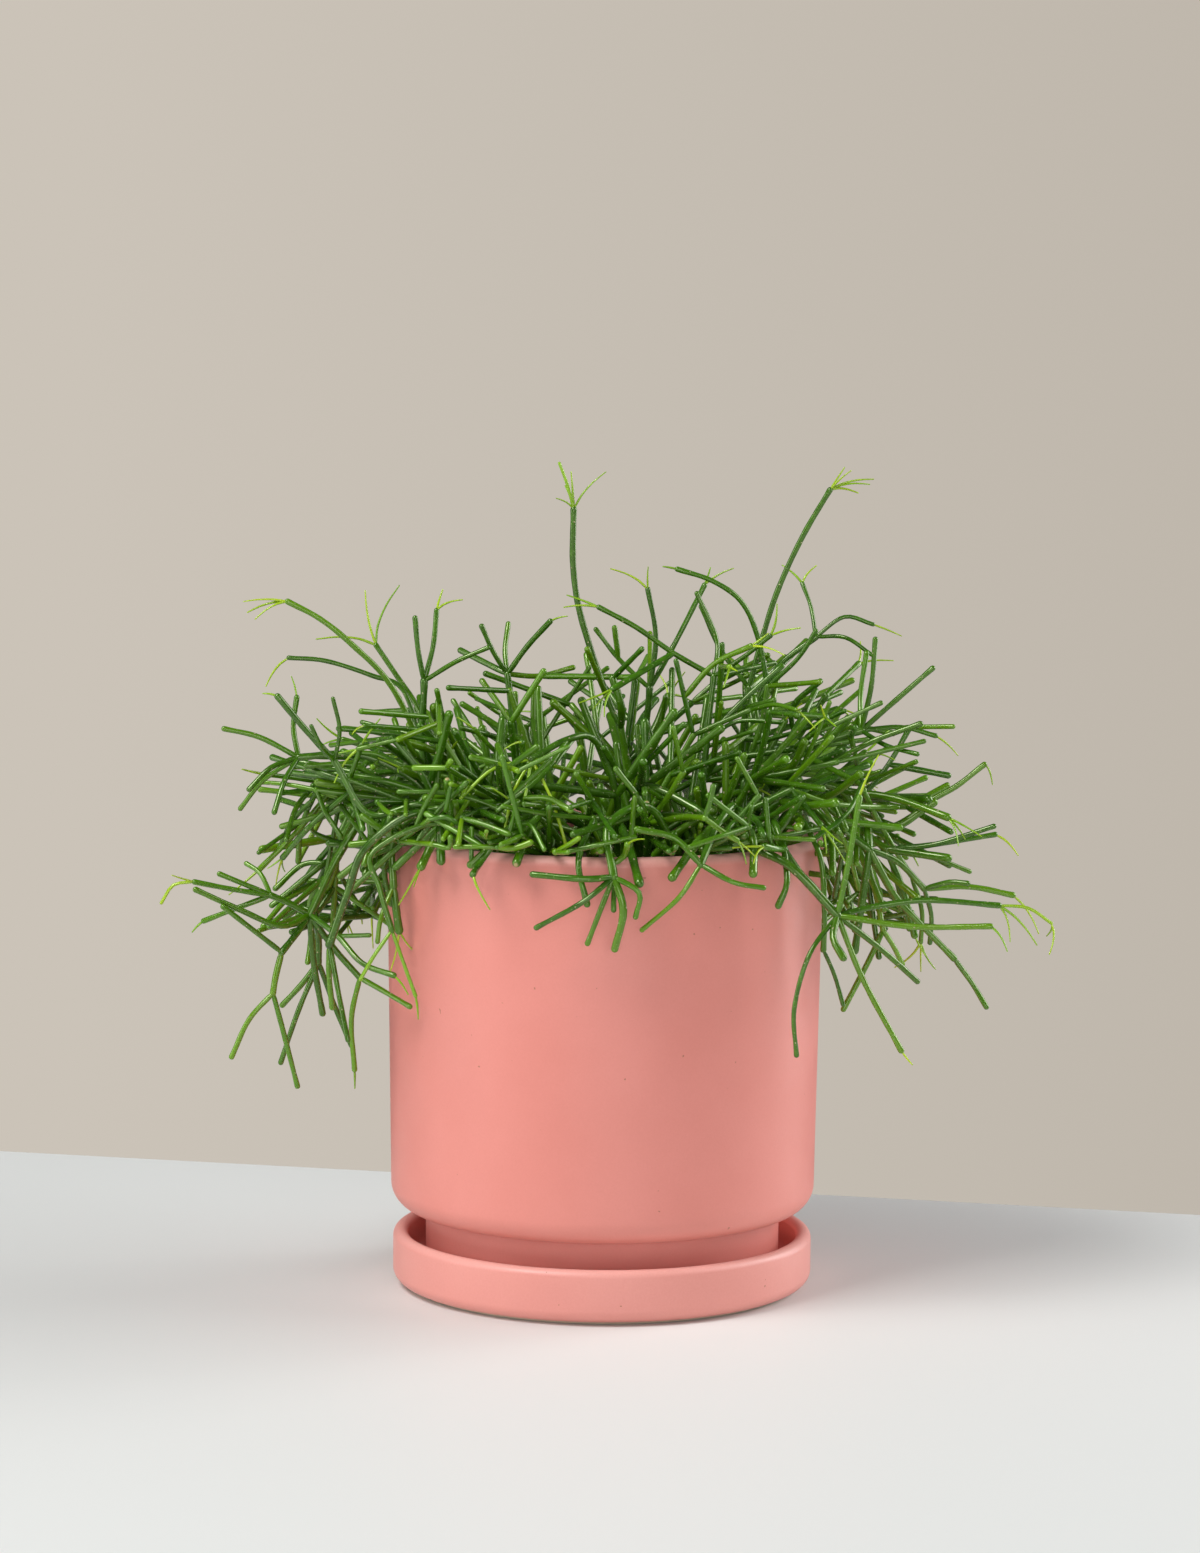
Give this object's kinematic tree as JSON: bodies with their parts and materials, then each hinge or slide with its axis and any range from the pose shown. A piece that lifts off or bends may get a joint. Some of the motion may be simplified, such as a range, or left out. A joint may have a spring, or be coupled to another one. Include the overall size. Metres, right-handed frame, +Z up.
{
  "type": "potted mistletoe cactus",
  "caption": "Mistletoe cactus with many slender branching stems that rise and trail from a cylindrical glazed pot on its saucer.",
  "frame": {"origin": "on the table under the middle of the saucer's foot, on the pot's axis", "axes": "+Z up along the pot's axis, +X to the plant's right, -Y towards its front"},
  "size_m": [0.3007, 0.1965, 0.2872],
  "materials": {
    "pot_glaze": "satin coral pink glaze",
    "saucer_glaze": "satin coral pink glaze, unglazed foot",
    "soil": "moist potting soil with bark",
    "stem_skin": "waxy green plant skin"
  },
  "bodies": {
    "root": {"crown_stem_01": "stem_skin", "crown_stem_02": "stem_skin", "crown_stem_03": "stem_skin", "crown_stem_04": "stem_skin", "crown_stem_05": "stem_skin", "crown_stem_06": "stem_skin", "crown_stem_07": "stem_skin", "crown_stem_08": "stem_skin", "crown_stem_09": "stem_skin", "crown_stem_10": "stem_skin", "crown_stem_11": "stem_skin", "crown_stem_12": "stem_skin", "crown_stem_13": "stem_skin", "crown_stem_14": "stem_skin", "crown_stem_15": "stem_skin", "crown_stem_16": "stem_skin", "crown_stem_17": "stem_skin", "crown_stem_18": "stem_skin", "crown_stem_19": "stem_skin", "crown_stem_20": "stem_skin", "crown_stem_21": "stem_skin", "crown_stem_22": "stem_skin", "crown_stem_23": "stem_skin", "crown_stem_24": "stem_skin", "crown_stem_25": "stem_skin", "crown_stem_26": "stem_skin", "crown_stem_27": "stem_skin", "crown_stem_28": "stem_skin", "front_arching_stem": "stem_skin", "front_centre_stem": "stem_skin", "front_left_stem": "stem_skin", "front_right_short_stem": "stem_skin", "front_right_stem": "stem_skin", "front_trailing_stem": "stem_skin", "left_arching_stem": "stem_skin", "left_forked_stem": "stem_skin", "left_front_stem": "stem_skin", "left_hanging_stem": "stem_skin", "left_shelf_stem": "stem_skin", "left_tufted_stem": "stem_skin", "left_upright_stem": "stem_skin", "middle_arching_stem": "stem_skin", "middle_right_stem": "stem_skin", "middle_upright_stem": "stem_skin", "pot": "pot_glaze", "right_arching_stem": "stem_skin", "right_fanned_stem": "stem_skin", "right_hanging_stem": "stem_skin", "right_low_stem": "stem_skin", "right_shelf_stem": "stem_skin", "right_upright_stem": "stem_skin", "saucer": "saucer_glaze", "soil": "soil", "tall_stem_middle": "stem_skin", "tall_stem_right": "stem_skin", "trailing_stem_left": "stem_skin", "trailing_stem_left_inner": "stem_skin", "trailing_stem_right": "stem_skin"}
  },
  "joints": []
}
